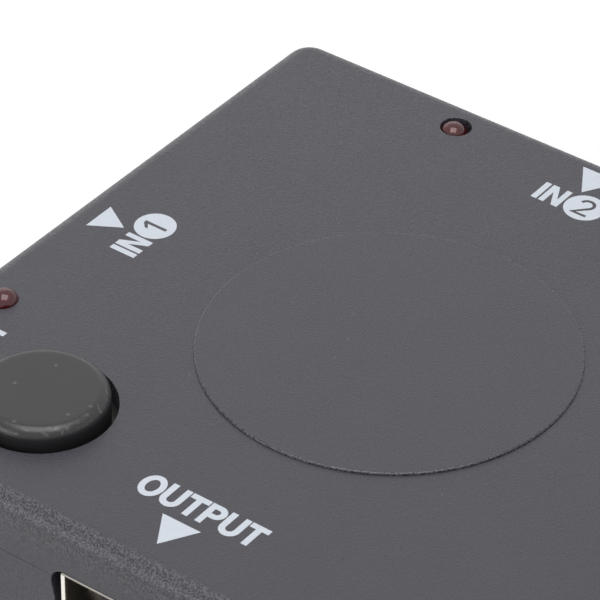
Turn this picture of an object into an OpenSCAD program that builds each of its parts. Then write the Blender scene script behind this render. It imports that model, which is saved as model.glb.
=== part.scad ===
// Three-way video switch box: a square two-shell case with one socket in the middle of each side,
// a select button and three indicator lamps on its top. Millimetres. It stands on z = 0, centred
// on the z axis, with the output socket at the front (-Y) and the inputs on the other three sides.

/* [Case] */
// Side of the square case, seen from above
case_side = 75; // [70:0.5:90]
// Height of the closed case without its feet
case_h = 18; // [17:0.1:24]
// Thickness of the side walls
wall = 2; // [1.6:0.1:2.4]
// Thickness of the top plate
top_t = 2; // [1.6:0.1:2.4]
// Thickness of the floor
floor_t = 2; // [1.6:0.1:2.4]
// Plan radius of the upright corners
corner_r = 2.75; // [2.5:0.05:4]
// Rounding of the top edge
top_edge_r = 2; // [1:0.1:2.4]
// Rounding of the bottom edge
bottom_edge_r = 1.5; // [0.6:0.1:2.4]

/* [Parting line] */
// Depth of the parting line below the top face
seam_drop = 6.2; // [6:0.1:7.5]
// Height of the shadow groove along the parting line
groove_h = 0.05; // [0.05:0.01:0.4]
// Depth of the shadow groove
groove_d = 0.1; // [0.05:0.01:0.4]
// Height of the locating lip above the parting line
lip_h = 0.9; // [0.6:0.1:1.2]
// Depth of the lip's root below the parting line
lip_root = 1.6; // [1:0.1:2.5]
// Thickness of the locating lip
lip_t = 0.9; // [0.7:0.1:1.1]
// Gap between the lip and the upper shell
lip_gap = 0.15; // [0.1:0.05:0.3]

/* [Top disc] */
// Diameter of the raised disc
disc_d = 36; // [20:0.5:44]
// Height of the disc above the top face
disc_rise = 0.25; // [0.15:0.05:0.8]
// Rounding of the disc's upper edge
disc_edge_r = 0.2; // [0.05:0.05:0.25]

/* [Feet and screws] */
// Diameter of a rubber foot
foot_d = 8; // [6:0.5:10]
// Height of a foot below the case
foot_rise = 1.2; // [0.8:0.1:3]
// Depth of a foot's recess in the floor
foot_sink = 0.5; // [0.3:0.1:0.8]
// Rounding of a foot's lower edge
foot_edge_r = 0.4; // [0.2:0.1:0.6]
// Distance of a foot's centre from the case's sides
foot_inset = 13; // [12.5:0.5:16]
// Distance of a screw's axis from the case's sides
screw_inset = 6.5; // [6.3:0.1:7]
// Diameter of a screw's shank
screw_d = 2.5; // [2:0.1:3]
// Length of a screw under its head
screw_l = 10; // [8:0.5:11]
// Diameter of a screw's head
screw_head_d = 4.6; // [4:0.1:5]
// Height of a screw's head
screw_head_h = 1.6; // [1.2:0.1:2]
// Depth of a screw's counterbore in the case's underside
screw_sink = 2.2; // [2.1:0.1:2.6]
// Diameter of a screw boss or post
boss_d = 6; // [5.8:0.1:6.4]

/* [Circuit board] */
// Depth of the board's upper face below the top face
board_drop = 11.5; // [10.8:0.1:12]
// Thickness of the board
board_t = 1.6; // [1.2:0.1:2]
// Gap between the board's edge and the locating lip
board_gap = 0.25; // [0.15:0.05:0.4]

/* [Sockets] */
// Inside width of a socket's mouth
socket_w = 14; // [13.5:0.1:14.5]
// Inside height of a socket's mouth
socket_h = 4.55; // [4.3:0.05:4.9]
// Inside width at a socket's floor
socket_floor_w = 10.6; // [9.5:0.1:11.5]
// Height at which a socket's sides start to lean in
shoulder_h = 2.2; // [1.6:0.1:2.8]
// Corner radius inside a socket
socket_corner_r = 0.4; // [0.3:0.05:0.6]
// Thickness of a socket's sheet metal
sheet_t = 0.3; // [0.2:0.05:0.4]
// Widening of a socket's flared mouth on each side
flare = 1.05; // [0.6:0.05:1.3]
// Corner radius of the flared mouth
rim_corner_r = 0.2; // [0.1:0.05:0.5]
// Length of the flare
flare_l = 2; // [1:0.1:2.4]
// Length of a socket from its mouth to its back
socket_l = 12; // [11.5:0.1:14]
// Distance a socket's mouth stands out of the case's side
socket_proud = 0.05; // [0.05:0.05:0.8]
// Width of a socket's tongue
tongue_w = 11.2; // [10.8:0.1:11.6]
// Thickness of a socket's tongue
tongue_t = 1.9; // [1.6:0.1:2.1]
// Distance of the tongue's tip behind the flared mouth
tongue_recess = 2.4; // [1.8:0.1:2.8]
// Length of a tongue
tongue_l = 6.6; // [5.5:0.1:7.5]
// Width of a contact
contact_w = 0.28; // [0.2:0.02:0.36]
// Thickness of a contact
contact_t = 0.15; // [0.1:0.01:0.2]
// Pitch of the contacts in one row
contact_pitch = 1; // [0.9:0.05:1.05]
// Distance of a contact's tip behind the tongue's tip
contact_recess = 0.5; // [0.3:0.1:1]
// Length of a socket's legs below the board
leg_below = 0.6; // [0.3:0.1:1.2]
// Gap at each side between a socket's mouth and its cutout
port_gap = 1.15; // [0.6:0.05:1.6]
// Gap above and below a socket's mouth
port_gap_z = 0.05; // [0.03:0.01:0.3]
// Amount by which each side of a cutout leans in towards the bottom
port_lean = 0.8; // [0:0.1:1.2]
// Corner radius of a cutout
port_corner_r = 1.5; // [0.8:0.1:1.6]

/* [Select button] */
// Distance of the button's axis from the left side
button_inset_x = 17.2; // [17:0.1:19]
// Distance of the button's axis from the front side
button_inset_y = 12.1; // [11.8:0.1:13]
// Diameter of the button's hole
button_hole_d = 14; // [13:0.1:14.4]
// Radial gap between the cap and its hole
button_gap = 0.7; // [0.15:0.05:0.9]
// Height of the cap above the top face at rest
button_rise = 1.85; // [1.2:0.05:2.2]
// Rounding of the cap's upper edge
button_edge_r = 1.1; // [0.5:0.1:1.4]
// Thickness of the cap's top
button_top_t = 1.6; // [1.4:0.1:2]
// Thickness of the cap's skirt
button_skirt_t = 1.2; // [1:0.1:1.6]
// Reach of the cap's flange under the top plate, which keeps the cap in
button_flange_w = 0.8; // [0.5:0.1:1]
// Thickness of that flange
button_flange_t = 1; // [0.8:0.1:1.2]
// Play between the flange and the top plate
button_play = 0.15; // [0.1:0.05:0.25]
// Diameter of the cap's stem
button_stem_d = 4.4; // [4:0.1:5]

/* [Push switch] */
// Side of the switch's square base
switch_side = 6; // [5.8:0.1:6.4]
// Height of the switch's base
switch_base_h = 3.2; // [3:0.1:3.6]
// Height of the plunger's top above the board
switch_h = 5; // [4.6:0.1:5.4]
// Thickness of the metal cover
switch_cover_t = 0.3; // [0.2:0.05:0.4]
// Diameter of the plunger
plunger_d = 3.4; // [3:0.1:3.6]
// Width of the plunger's flange under the cover
plunger_flange_w = 0.5; // [0.3:0.05:0.6]
// Thickness of the plunger's flange
plunger_flange_t = 0.6; // [0.5:0.05:0.7]
// Radial gap round the plunger
plunger_gap = 0.12; // [0.1:0.02:0.2]
// Height of the cavity's floor above the board
switch_floor_h = 1; // [0.8:0.05:1.1]
// Height of the snap dome
dome_h = 0.5; // [0.4:0.05:0.6]
// Thickness of the snap dome
dome_t = 0.08; // [0.06:0.01:0.1]
// Length of the switch's pins below the board
pin_below = 0.8; // [0.5:0.1:1.2]

/* [Lamps] */
// Distance of a lamp's axis from the case's side
lamp_inset = 4.25; // [4.1:0.05:4.6]
// Distance of a lamp's axis from the middle of that side
lamp_offset = 15.6; // [13.5:0.1:18]
// Diameter of a lamp's lens
lamp_d = 2.8; // [2.7:0.05:3]
// Diameter of a lamp's hole in the top plate
lamp_hole_d = 3.15; // [3.1:0.05:3.3]
// Height of a lamp's lens
lamp_h = 5.2; // [4.9:0.1:5.4]
// Diameter of the flange at a lens's base
lamp_flange_d = 3.7; // [3.5:0.05:3.8]
// Thickness of that flange
lamp_flange_t = 1; // [0.8:0.1:1.2]
// Height of the first lamp's dome above the top face
lamp_1_rise = 0.95; // [0.2:0.05:1.2]
// Height of the second lamp's dome above the top face
lamp_2_rise = 0.4; // [0:0.05:0.6]
// Distance of the first lamp from its hole's middle, towards the back right
lamp_1_shift = 0.14; // [0:0.01:0.15]
// Distance of the second lamp from its hole's middle, towards the front left
lamp_2_shift = 0.14; // [0:0.01:0.15]
// Height of the third lamp's dome above the top face
lamp_3_rise = 0.5; // [0:0.05:0.6]
// Thickness of a lamp's square lead
lead_t = 0.5; // [0.4:0.05:0.6]
// Distance between a lamp's two leads
lead_pitch = 2.54; // [2.3:0.02:2.6]
// Length of a lead inside the lens
lead_in = 2.2; // [1.8:0.1:2.6]

/* [Board parts] */
// Side of the switch chip's body
chip_side = 7; // [6:0.5:9]
// Thickness of the switch chip's body
chip_t = 1.4; // [1:0.1:1.8]
// Leads on each side of the switch chip
chip_leads_a_side = 12; // [8:1:12]
// Pitch of the chip's leads
chip_pitch = 0.5; // [0.4:0.05:0.5]
// Reach of a chip's lead beyond the body
chip_lead_l = 1; // [0.8:0.1:1.2]
// Thickness of a chip's lead
chip_lead_t = 0.15; // [0.1:0.01:0.2]
// Size of the regulator's body: width, depth and height
regulator_size = [6.5, 3.5, 1.6]; // [1:0.1:8]
// Size of a surge array's body
surge_size = [2.5, 1, 0.5]; // [0.4:0.1:3]
// Size of a capacitor
capacitor_size = [1.6, 0.8, 0.8]; // [0.4:0.1:2]
// Size of a resistor
resistor_size = [1.6, 0.8, 0.45]; // [0.3:0.05:2]

/* [Hidden] */
$fn = 64;

shell_grey = "#616065";
button_grey = "#3c3c3e";
steel = "#d8cfc0";
gold = "#c9a24a";
insulator_black = "#1b1b1d";
board_green = "#1f4a34";
lamp_red = "#6e2b30";
rubber_black = "#232325";

// Overlap of fused shapes, and reach of a cut past a face
bite = 0.4;
// Least corner radius left inside a wall
least_r = 0.3;
// Steps along a socket's rounded corner
corner_steps = 4;

// Levels, from the surface that the feet stand on
case_z = foot_rise;
top_z = case_z + case_h;
under_top_z = top_z - top_t;
seam_z = top_z - seam_drop;
floor_z = case_z + floor_t;
board_z = top_z - board_drop;
board_under_z = board_z - board_t;
half_side = case_side / 2;
board_half = half_side - wall - lip_gap - lip_t - board_gap;

// The plan of the case, drawn in by an inset
module plan(inset) {
    side = case_side - 2 * inset;
    r = max(corner_r - inset, least_r);
    square([side - 2 * r, side], center = true);
    square([side, side - 2 * r], center = true);
    for (x = [-1, 1], y = [-1, 1])
        translate([x, y] * (side / 2 - r)) circle(r);
}

// A strip from the axis to a radius, whose outer upper corner is rounded
module rounded_section(width, height, edge_r) {
    difference() {
        square([width, height]);
        translate([width - edge_r, height - edge_r]) difference() {
            square(edge_r + bite);
            circle(edge_r);
        }
    }
}

// A block with the case's plan, on z = 0, with its upper edge rounded all round
module case_block(height, edge_r) {
    straight = case_side - 2 * corner_r;
    translate([-straight / 2, -straight / 2, 0]) cube([straight, straight, height]);
    for (turn = [0 : 90 : 270])
        rotate(turn) translate([straight / 2, straight / 2, 0]) {
            rotate([90, 0, 0]) linear_extrude(straight) rounded_section(corner_r, height, edge_r);
            rotate_extrude(angle = 90) rounded_section(corner_r, height, edge_r);
        }
}

// Corners of a square pattern at an inset from the case's sides
module at_corners(inset) {
    for (x = [-1, 1], y = [-1, 1])
        translate([x * (half_side - inset), y * (half_side - inset), 0]) children();
}

// Sockets: each is drawn with its mouth on y = 0, facing -Y, and its base on z = 0
socket_turns = [-90, 180, 90, 0];
socket_base_z = board_z;
mouth_y = half_side + socket_proud;
mouth_half_w = socket_w / 2 + sheet_t + flare;
mouth_top = socket_h + 2 * sheet_t + flare;
mouth_bottom = -flare;
flare_edge = 0.1;

module at_socket(number) {
    rotate(socket_turns[number]) translate([0, -mouth_y, socket_base_z]) children();
}

// Outline of a socket's inside, grown evenly, with a corner radius; x across, y up from the socket's base
function socket_outline(grow, r) =
    let (
        inner_r = socket_corner_r,
        side_x = socket_w / 2 - inner_r,
        floor_x = socket_floor_w / 2 - inner_r,
        lean = atan2(side_x - floor_x, shoulder_h - inner_r),
        centres = [
            [side_x, socket_h - inner_r], [-side_x, socket_h - inner_r], [-side_x, shoulder_h],
            [-floor_x, inner_r], [floor_x, inner_r], [side_x, shoulder_h]
        ],
        angles = [0, 90, 180, 180 + lean, 270, 360 - lean, 360],
        facing = [for (a = angles) [cos(a), sin(a)]]
    )
    [for (i = [0 : 5], step = [0 : corner_steps])
        let (
            a = angles[i] + (angles[i + 1] - angles[i]) * step / corner_steps,
            out = (facing[i] + facing[i + 1]) / (1 + facing[i] * facing[i + 1])
        )
        centres[i] + [0, sheet_t] + (inner_r + grow - r) * out + r * [cos(a), sin(a)]];

// The outline as a bar along the socket, from one depth behind the mouth to another
module socket_bar(grow, r, from, to) {
    translate([0, to, 0]) rotate([90, 0, 0]) linear_extrude(to - from) polygon(socket_outline(grow, r));
}

// A flared stretch at the mouth, with a short straight edge at each end
module socket_flare(grow) {
    hull() {
        socket_bar(grow + flare, rim_corner_r, 0, flare_edge);
        socket_bar(grow, socket_corner_r + grow, flare_l, flare_l + flare_edge);
    }
}

// Legs of a socket's shell, from its upright sides through the board
leg_w = 1.4;
leg_hole_d = 1.9;
leg_top = shoulder_h + sheet_t + 1;
leg_drop = board_t + leg_below;
leg_depths = [5.6, 10.6];

module socket_shell() {
    color(steel) difference() {
        union() {
            socket_bar(sheet_t, socket_corner_r + sheet_t, flare_l, socket_l);
            socket_flare(sheet_t);
            for (side = [-1, 1], depth = leg_depths)
                translate([side * (socket_w + sheet_t) / 2, depth, (leg_top - leg_drop) / 2])
                    cube([sheet_t, leg_w, leg_top + leg_drop], center = true);
        }
        socket_bar(0, socket_corner_r, -bite, socket_l + bite);
        socket_flare(0);
    }
}

// Insulator: a block at the back that carries the tongue
block_y = tongue_recess + tongue_l;
block_fit = 0.03;
tongue_mid = sheet_t + socket_h / 2;
tongue_top = tongue_mid + tongue_t / 2;
tongue_bottom = tongue_mid - tongue_t / 2;
contact_y = tongue_recess + contact_recess;
tail_gap = 0.25;
tail_foot = 0.9;
upper_contacts = 10;
lower_contacts = 9;

function row_x(count) = [for (i = [0 : count - 1]) (i - (count - 1) / 2) * contact_pitch];

module at_contacts(count) {
    for (x = row_x(count)) translate([x + contact_w / 2, 0, 0]) rotate([90, 0, -90])
        linear_extrude(contact_w) children();
}

// Side view of a contact that lies at a height: a blade, a drop behind the block and a foot
module contact_section(height) {
    back = socket_l + tail_gap;
    polygon([
        [-contact_y, height], [-back, height], [-back, 0], [-back - tail_foot, 0],
        [-back - tail_foot, contact_t], [-back - contact_t, contact_t],
        [-back - contact_t, height + contact_t], [-contact_y, height + contact_t]
    ]);
}

module socket_contacts() {
    color(gold) {
        at_contacts(upper_contacts) contact_section(tongue_top);
        at_contacts(lower_contacts) contact_section(tongue_bottom - contact_t);
    }
}

module contact_slots(count, height) {
    for (x = row_x(count))
        translate([x - contact_w / 2 - block_fit, contact_y, height - block_fit])
            cube([contact_w + 2 * block_fit, socket_l, contact_t + 2 * block_fit]);
}

module socket_insulator() {
    color(insulator_black) difference() {
        union() {
            socket_bar(-block_fit, socket_corner_r - block_fit, block_y, socket_l);
            translate([-tongue_w / 2, tongue_recess, tongue_bottom])
                cube([tongue_w, tongue_l + bite, tongue_t]);
        }
        contact_slots(upper_contacts, tongue_top + block_fit);
        contact_slots(lower_contacts, tongue_bottom - contact_t - block_fit);
    }
}

// Cutouts in the case, wider than the sockets' mouths and leaning in towards the bottom
module port_cutouts() {
    half_top = mouth_half_w + port_gap - port_corner_r;
    upper = mouth_top + port_gap_z - port_corner_r;
    lower = mouth_bottom - port_gap_z + port_corner_r;
    depth = wall + lip_gap + lip_t + socket_proud + 2 * bite;
    for (number = [0 : 3])
        at_socket(number) translate([0, depth - bite, 0]) rotate([90, 0, 0]) linear_extrude(depth)
            hull() for (side = [-1, 1]) {
                translate([side * half_top, upper]) circle(port_corner_r, $fn = 32);
                translate([side * (half_top - port_lean), lower]) circle(port_corner_r, $fn = 32);
            }
}

// Lamps: one beside each input, turned with its side of the case
lamp_turns = [-90, 180, 90];
lamp_rises = [lamp_1_rise, lamp_2_rise, lamp_3_rise];
lamp_clear = 0.2;
lamp_dome_flat = 0.05;
lead_below = 0.9;
lead_hole_d = 1;
cup_w = 1.1;
cup_h = 0.9;

module at_lamp(number) {
    rotate(lamp_turns[number]) translate([lamp_offset, lamp_inset - half_side, 0]) children();
}
// A lamp itself may stand off the middle of its hole
lamp_shifts = [lamp_1_shift, lamp_2_shift, 0];
lamp_shift_turns = [126, 36, 0];
module at_lens(number) {
    turn = lamp_shift_turns[number];
    at_lamp(number) translate(lamp_shifts[number] * [cos(turn), sin(turn), 0]) children();
}
function lamp_base_z(number) = top_z + lamp_rises[number] - lamp_h;

// The two leads of a lamp; the one that holds the reflector cup is wider at its head
module lamp_lead_pair(number) {
    foot_z = board_under_z - lead_below;
    head_z = lamp_base_z(number) + lead_in;
    for (side = [-1, 1])
        translate([side * lead_pitch / 2, 0, 0]) {
            translate([-lead_t / 2, -lead_t / 2, foot_z]) cube([lead_t, lead_t, head_z - foot_z]);
            translate([-side * (cup_w - lead_t) / 2 - cup_w / 2, -lead_t / 2, head_z - cup_h])
                cube([cup_w, lead_t, cup_h]);
        }
}

module lamp_leads(number) {
    color(steel) at_lens(number) lamp_lead_pair(number);
}

module lamp_lens(number) {
    color(lamp_red) at_lens(number) difference() {
        translate([0, 0, lamp_base_z(number)]) rotate_extrude() {
            rounded_section(lamp_d / 2, lamp_h, lamp_d / 2 - lamp_dome_flat);
            square([lamp_flange_d / 2, lamp_flange_t]);
        }
        lamp_lead_pair(number);
    }
}

// Select button and the push switch below it
button_x = button_inset_x - half_side;
button_y = button_inset_y - half_side;
cap_r = button_hole_d / 2 - button_gap;
cap_top_z = top_z + button_rise;
flange_top_z = under_top_z - button_play;
flange_z = flange_top_z - button_flange_t;
plunger_top_z = board_z + switch_h;

module at_button() {
    translate([button_x, button_y, 0]) children();
}

module button_cap() {
    color(button_grey) at_button() rotate_extrude() {
        translate([0, flange_z]) difference() {
            union() {
                rounded_section(cap_r, cap_top_z - flange_z, button_edge_r);
                square([button_hole_d / 2 + button_flange_w, button_flange_t]);
            }
            square([cap_r - button_skirt_t, cap_top_z - flange_z - button_top_t]);
        }
        translate([0, plunger_top_z])
            square([button_stem_d / 2, cap_top_z - button_top_t - plunger_top_z + bite]);
    }
}

cover_z = board_z + switch_base_h;
cavity_z = board_z + switch_floor_h;
cavity_r = plunger_d / 2 + plunger_flange_w + plunger_gap;
plunger_flange_z = cover_z - plunger_gap - plunger_flange_t;
nub_r = 0.8;
nub_gap = 0.05;
cover_skirt_h = 1.2;
pin_w = 0.7;
pin_t = 0.3;
pin_rise = 0.9;
pin_pitch = 4.5;
pin_hole_d = 1.1;

module push_switch_base() {
    color(insulator_black) at_button() difference() {
        translate([-switch_side / 2, -switch_side / 2, board_z])
            cube([switch_side, switch_side, switch_base_h]);
        translate([0, 0, cavity_z]) cylinder(r = cavity_r, h = switch_base_h);
    }
}

module push_switch_cover() {
    skirt_y = switch_side / 2;
    color(steel) at_button() difference() {
        union() {
            translate([-switch_side / 2, -skirt_y - switch_cover_t, cover_z])
                cube([switch_side, switch_side + 2 * switch_cover_t, switch_cover_t]);
            for (side = [-1, 1])
                translate([0, side * (skirt_y + switch_cover_t / 2), cover_z - cover_skirt_h / 2])
                    cube([switch_side / 2, switch_cover_t, cover_skirt_h], center = true);
        }
        translate([0, 0, cover_z - bite])
            cylinder(r = plunger_d / 2 + plunger_gap, h = 2 * bite + switch_cover_t);
    }
}

module push_switch_plunger() {
    nub_z = cavity_z + dome_h + nub_gap;
    color(rubber_black) at_button() {
        translate([0, 0, plunger_flange_z]) {
            cylinder(d = plunger_d, h = plunger_top_z - plunger_flange_z);
            cylinder(r = plunger_d / 2 + plunger_flange_w, h = plunger_flange_t);
        }
        translate([0, 0, nub_z]) cylinder(r = nub_r, h = plunger_flange_z - nub_z + bite);
    }
}

// A thin shallow dome on the cavity's floor
module push_switch_dome() {
    foot_r = cavity_r - plunger_gap;
    ball_r = (foot_r * foot_r + dome_h * dome_h) / (2 * dome_h);
    color(steel) at_button() translate([0, 0, cavity_z]) rotate_extrude() intersection() {
        square([foot_r, dome_h]);
        translate([0, dome_h - ball_r]) difference() {
            circle(ball_r);
            circle(ball_r - dome_t);
        }
    }
}

module at_pins() {
    for (x = [-1, 1], y = [-1, 1])
        translate([x * (switch_side + pin_t) / 2, y * pin_pitch / 2, 0]) children();
}

module push_switch_pins() {
    foot_z = board_under_z - pin_below;
    color(steel) at_button() at_pins()
        translate([-pin_t / 2, -pin_w / 2, foot_z]) cube([pin_t, pin_w, board_z + pin_rise - foot_z]);
}

// Screws, posts and feet
thread_fit = 0.05;
screw_clear = 0.2;
head_clear = 0.3;
pilot_spare = 1.5;
recess_w = 0.6;
recess_span = 2.6;
recess_deep = 0.9;
seat_z = case_z + screw_sink;

module case_screws() {
    color(steel) at_corners(screw_inset) difference() {
        union() {
            translate([0, 0, seat_z]) cylinder(d = screw_d, h = screw_l);
            translate([0, 0, seat_z - screw_head_h]) cylinder(d = screw_head_d, h = screw_head_h);
        }
        for (turn = [0, 90])
            rotate(turn) translate([0, 0, seat_z - screw_head_h])
                cube([recess_w, recess_span, 2 * recess_deep], center = true);
    }
}

foot_fit = 0.1;
module rubber_feet() {
    height = foot_rise + foot_sink;
    color(rubber_black) at_corners(foot_inset) translate([0, 0, height]) mirror([0, 0, 1])
        rotate_extrude() rounded_section(foot_d / 2, height, foot_edge_r);
}

module lower_shell() {
    shell_h = seam_z - groove_h - case_z;
    inner = wall + lip_gap + lip_t;
    color(shell_grey) difference() {
        union() {
            difference() {
                union() {
                    translate([0, 0, seam_z - groove_h]) mirror([0, 0, 1])
                        case_block(shell_h, bottom_edge_r);
                    translate([0, 0, seam_z - groove_h - bite])
                        linear_extrude(groove_h + bite) plan(groove_d);
                    translate([0, 0, seam_z - bite])
                        linear_extrude(lip_h + bite) plan(wall + lip_gap);
                }
                translate([0, 0, floor_z]) linear_extrude(case_h) plan(inner);
                translate([0, 0, floor_z])
                    linear_extrude(seam_z - lip_root - floor_z) plan(wall);
            }
            at_corners(screw_inset) translate([0, 0, floor_z - bite])
                cylinder(d = boss_d, h = board_under_z - floor_z + bite);
        }
        port_cutouts();
        at_corners(screw_inset) {
            translate([0, 0, case_z]) cylinder(d = screw_d + 2 * screw_clear, h = case_h);
            translate([0, 0, case_z - bite])
                cylinder(d = screw_head_d + 2 * head_clear, h = screw_sink + bite);
        }
        at_corners(foot_inset) translate([0, 0, case_z - bite])
            cylinder(d = foot_d + 2 * foot_fit, h = foot_sink + bite);
        for (number = [0 : 2]) lamp_pocket(number);
    }
}

// Room for a lamp's flange inside the case
module lamp_pocket(number) {
    at_lamp(number) translate([0, 0, board_z])
        cylinder(d = lamp_flange_d + 2 * lamp_clear, h = under_top_z - board_z);
}

// The raised disc, rooted in the top plate
module raised_disc() {
    translate([0, 0, -bite]) rotate_extrude() rounded_section(disc_d / 2, disc_rise + bite, disc_edge_r);
}

module upper_shell() {
    color(shell_grey) difference() {
        union() {
            difference() {
                translate([0, 0, seam_z]) case_block(seam_drop, top_edge_r);
                translate([0, 0, seam_z - bite])
                    linear_extrude(under_top_z - seam_z + bite) plan(wall);
            }
            translate([0, 0, top_z]) raised_disc();
            at_corners(screw_inset) translate([0, 0, board_z])
                cylinder(d = boss_d, h = under_top_z - board_z + bite);
        }
        port_cutouts();
        at_button() translate([0, 0, seam_z]) cylinder(d = button_hole_d, h = case_h);
        for (number = [0 : 2]) {
            at_lamp(number) translate([0, 0, seam_z]) cylinder(d = lamp_hole_d, h = case_h);
            lamp_pocket(number);
        }
        at_corners(screw_inset) translate([0, 0, board_z - bite])
            cylinder(d = screw_d + 2 * thread_fit, h = seat_z + screw_l + pilot_spare - board_z + bite);
    }
}

module circuit_board() {
    board_side = 2 * board_half;
    color(board_green) difference() {
        translate([-board_half, -board_half, board_under_z]) cube([board_side, board_side, board_t]);
        translate([0, 0, board_under_z - bite]) {
            through = board_t + 2 * bite;
            at_corners(screw_inset) cylinder(d = screw_d + 2 * screw_clear, h = through);
            at_button() at_pins() cylinder(d = pin_hole_d, h = through);
            for (number = [0 : 2])
                at_lens(number) for (side = [-1, 1])
                    translate([side * lead_pitch / 2, 0, 0]) cylinder(d = lead_hole_d, h = through);
            for (number = [0 : 3])
                rotate(socket_turns[number]) for (side = [-1, 1], depth = leg_depths)
                    translate([side * (socket_w + sheet_t) / 2, depth - mouth_y, 0])
                        cylinder(d = leg_hole_d, h = through);
        }
    }
}

// Parts soldered on the board
chip_turn = 45;
lead_w_share = 0.45;
regulator_y = 14;
regulator_lead_w = 0.7;
regulator_tab_w = 3;
regulator_pitch = 2.3;
surge_depth = 16;
surge_spread = 3;
passive_pitch = 1.8;
passive_count = 6;
capacitor_y = -12;
resistor_y = -16;
chip_stand = chip_lead_t;

// Side view of a bent lead: out of the body at its middle, down, and along the board
module bent_lead_section(reach, rise) {
    polygon([
        [0, rise], [reach / 2 - chip_lead_t, rise], [reach / 2 - chip_lead_t, 0], [reach, 0],
        [reach, chip_lead_t], [reach / 2, chip_lead_t], [reach / 2, rise + chip_lead_t],
        [0, rise + chip_lead_t]
    ]);
}

module bent_lead(reach, rise, width) {
    rotate([90, 0, 0]) translate([0, 0, -width / 2]) linear_extrude(width) bent_lead_section(reach, rise);
}

module at_chip() {
    translate([0, 0, board_z]) rotate(chip_turn) children();
}

module switch_chip() {
    color(insulator_black) at_chip()
        translate([-chip_side / 2, -chip_side / 2, chip_stand]) cube([chip_side, chip_side, chip_t]);
}

module switch_chip_leads() {
    color(steel) at_chip() for (turn = [0 : 90 : 270], i = [0 : chip_leads_a_side - 1])
        rotate(turn) translate([chip_side / 2, (i - (chip_leads_a_side - 1) / 2) * chip_pitch, 0])
            bent_lead(chip_lead_l, chip_stand + chip_t / 2, chip_pitch * lead_w_share);
}

module at_regulator() {
    translate([0, regulator_y, board_z]) children();
}

module regulator() {
    size = regulator_size;
    color(insulator_black) at_regulator() translate([-size.x / 2, -size.y / 2, chip_stand]) cube(size);
}

module regulator_leads() {
    rise = chip_stand + regulator_size.z / 2;
    half = regulator_size.y / 2;
    color(steel) at_regulator() {
        for (i = [-1 : 1])
            translate([i * regulator_pitch, -half, 0])
                rotate(-90) bent_lead(chip_lead_l, rise, regulator_lead_w);
        translate([0, half, 0]) rotate(90) bent_lead(chip_lead_l, rise, regulator_tab_w);
    }
}

module board_block(size) {
    translate([-size.x / 2, -size.y / 2, 0]) cube(size);
}

module surge_arrays() {
    color(insulator_black) for (number = [0 : 3], side = [-1, 1])
        at_socket(number) translate([side * surge_spread, surge_depth, 0]) board_block(surge_size);
}

module passive_row(size, y) {
    for (i = [0 : passive_count - 1])
        translate([(i - (passive_count - 1) / 2) * (size.y + passive_pitch), y, board_z])
            rotate(90) board_block(size);
}

module capacitors() {
    color("#a98a63") passive_row(capacitor_size, capacitor_y);
}

module resistors() {
    color("#2a2a2c") passive_row(resistor_size, resistor_y);
}

lower_shell();
upper_shell();
rubber_feet();
case_screws();
circuit_board();
at_socket(0) socket_shell();  // in_1_socket_shell
at_socket(0) socket_insulator();  // in_1_socket_insulator
at_socket(0) socket_contacts();  // in_1_socket_contacts
at_socket(1) socket_shell();  // in_2_socket_shell
at_socket(1) socket_insulator();  // in_2_socket_insulator
at_socket(1) socket_contacts();  // in_2_socket_contacts
at_socket(2) socket_shell();  // in_3_socket_shell
at_socket(2) socket_insulator();  // in_3_socket_insulator
at_socket(2) socket_contacts();  // in_3_socket_contacts
at_socket(3) socket_shell();  // output_socket_shell
at_socket(3) socket_insulator();  // output_socket_insulator
at_socket(3) socket_contacts();  // output_socket_contacts
button_cap();
push_switch_base();
push_switch_cover();
push_switch_plunger();
push_switch_dome();
push_switch_pins();
lamp_lens(0);  // lamp_1_lens
lamp_lens(1);  // lamp_2_lens
lamp_lens(2);  // lamp_3_lens
lamp_leads(0);  // lamp_1_leads
lamp_leads(1);  // lamp_2_leads
lamp_leads(2);  // lamp_3_leads
switch_chip();
switch_chip_leads();
regulator();
regulator_leads();
surge_arrays();
capacitors();
resistors();
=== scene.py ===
# Three-way video switch box: the looks of its pieces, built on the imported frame, which is in metres with +Z
# up and the output at -Y. Sizes written here are in mm, and those of the floor, lights and camera in metres.
import math

import bmesh
import bpy
from mathutils import Matrix, Vector


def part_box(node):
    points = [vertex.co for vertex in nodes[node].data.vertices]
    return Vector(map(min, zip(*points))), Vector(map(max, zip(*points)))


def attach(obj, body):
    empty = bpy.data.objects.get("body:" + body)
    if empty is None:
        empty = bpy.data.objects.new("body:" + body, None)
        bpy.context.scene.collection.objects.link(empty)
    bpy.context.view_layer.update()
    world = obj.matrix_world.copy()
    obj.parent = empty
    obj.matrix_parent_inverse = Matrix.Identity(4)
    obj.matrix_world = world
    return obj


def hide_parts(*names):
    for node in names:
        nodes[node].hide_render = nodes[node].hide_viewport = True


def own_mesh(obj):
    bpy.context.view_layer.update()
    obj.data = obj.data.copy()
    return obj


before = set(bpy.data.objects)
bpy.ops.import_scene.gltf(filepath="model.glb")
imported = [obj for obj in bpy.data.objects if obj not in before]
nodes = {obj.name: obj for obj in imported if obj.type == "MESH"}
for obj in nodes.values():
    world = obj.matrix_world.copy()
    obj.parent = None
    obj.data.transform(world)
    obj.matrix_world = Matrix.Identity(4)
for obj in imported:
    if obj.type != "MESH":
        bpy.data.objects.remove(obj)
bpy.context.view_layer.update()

# Lower shell: the tray of the case, injection moulded in dark grey ABS, with posts for the board and a lip
# that locates the upper shell. The spark-eroded mould gives its walls a fine even grain, and its edges a
# small radius.
mm = 0.001
mould_radius, parting_radius, ledge_radius = 0.07, 0.02, 0.06
groove_z, seam_z, edge_slack = 12.95, 13.0, 0.01
weld, flat_bend, sharp_bend, radius_steps = 0.001, 0.5, 35, 4


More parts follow.
